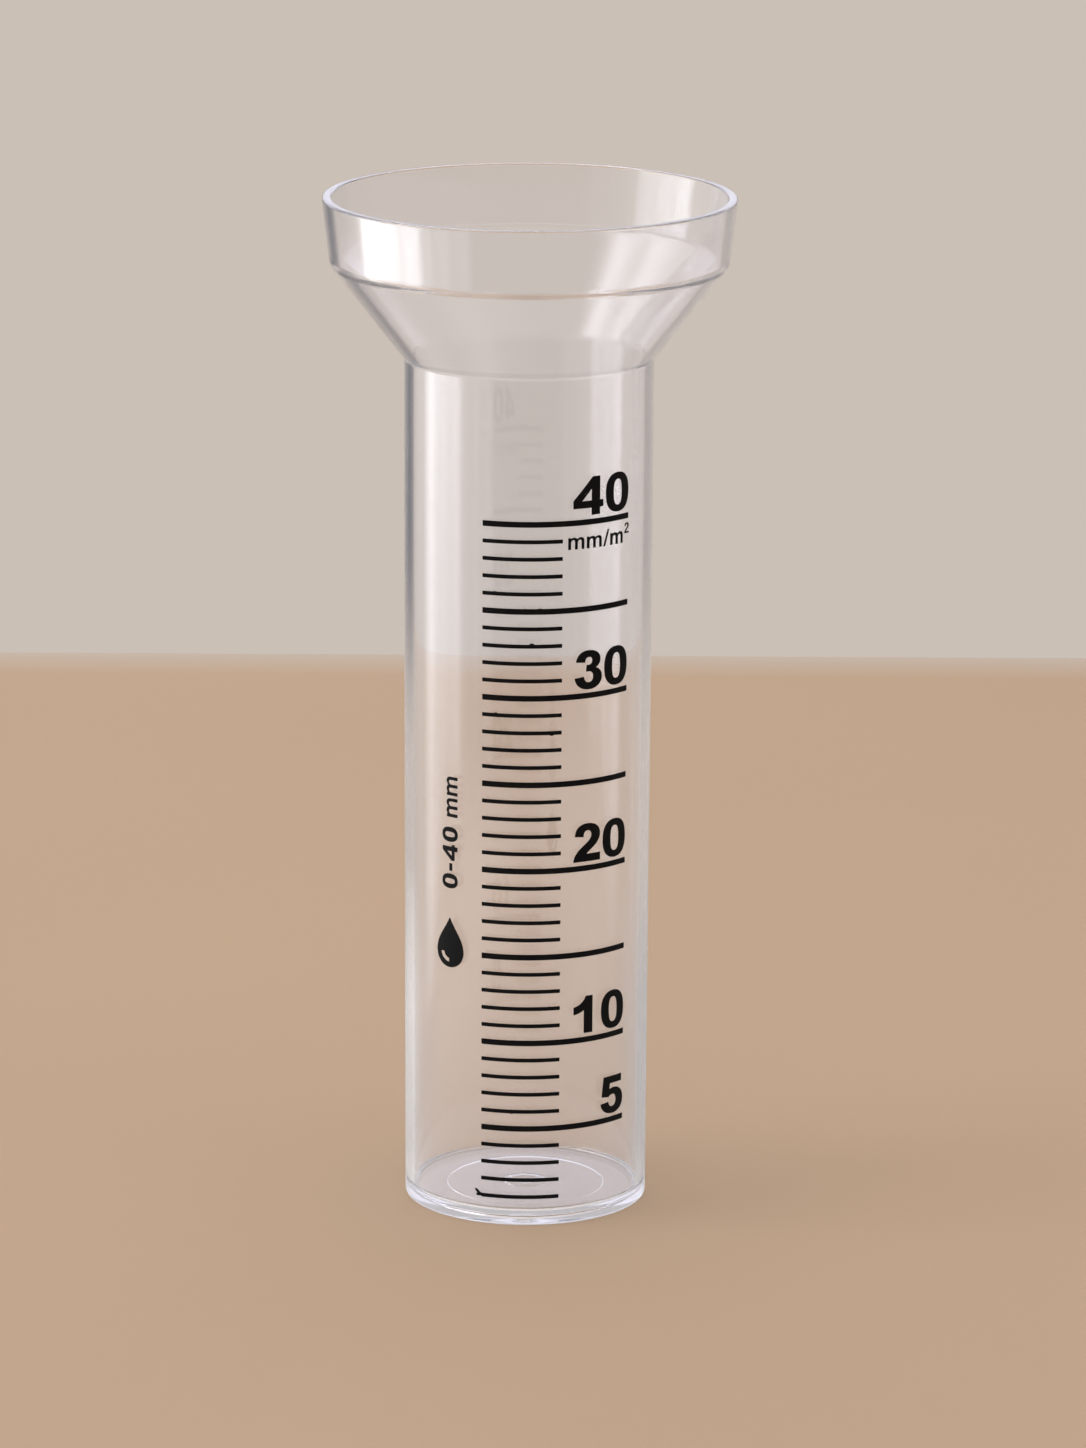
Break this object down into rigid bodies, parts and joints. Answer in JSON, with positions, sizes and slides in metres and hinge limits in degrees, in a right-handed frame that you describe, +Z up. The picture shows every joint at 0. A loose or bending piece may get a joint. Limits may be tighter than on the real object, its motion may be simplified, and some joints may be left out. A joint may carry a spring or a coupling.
{
  "type": "manual rain gauge",
  "caption": "Clear plastic rain gauge: a measuring tube with a printed millimetre scale under a wide funnel mouth that catches the rain.",
  "frame": {"origin": "centre of the foot, on the surface that the gauge stands on", "axes": "+Z up along the tube, -Y towards the reader of the scale, +X to the reader's right"},
  "size_m": [0.0681, 0.0682, 0.1703],
  "materials": {
    "clear_plastic": "gloss",
    "scale_ink": "satin"
  },
  "bodies": {
    "root": {"gauge_body": "clear_plastic", "mark_01": "scale_ink", "mark_02": "scale_ink", "mark_03": "scale_ink", "mark_04": "scale_ink", "mark_05": "scale_ink", "mark_06": "scale_ink", "mark_07": "scale_ink", "mark_08": "scale_ink", "mark_09": "scale_ink", "mark_10": "scale_ink", "mark_11": "scale_ink", "mark_12": "scale_ink", "mark_13": "scale_ink", "mark_14": "scale_ink", "mark_15": "scale_ink", "mark_16": "scale_ink", "mark_17": "scale_ink", "mark_18": "scale_ink", "mark_19": "scale_ink", "mark_20": "scale_ink", "mark_21": "scale_ink", "mark_22": "scale_ink", "mark_23": "scale_ink", "mark_24": "scale_ink", "mark_25": "scale_ink", "mark_26": "scale_ink", "mark_27": "scale_ink", "mark_28": "scale_ink", "mark_29": "scale_ink", "mark_30": "scale_ink", "mark_31": "scale_ink", "mark_32": "scale_ink", "mark_33": "scale_ink", "mark_34": "scale_ink", "mark_35": "scale_ink", "mark_36": "scale_ink", "mark_37": "scale_ink", "mark_38": "scale_ink", "mark_39": "scale_ink", "mark_40": "scale_ink", "numeral_05": "scale_ink", "numeral_10": "scale_ink", "numeral_20": "scale_ink", "numeral_30": "scale_ink", "numeral_40": "scale_ink", "unit_mark": "scale_ink", "drop_print": "scale_ink", "range_print": "scale_ink"}
  },
  "joints": []
}
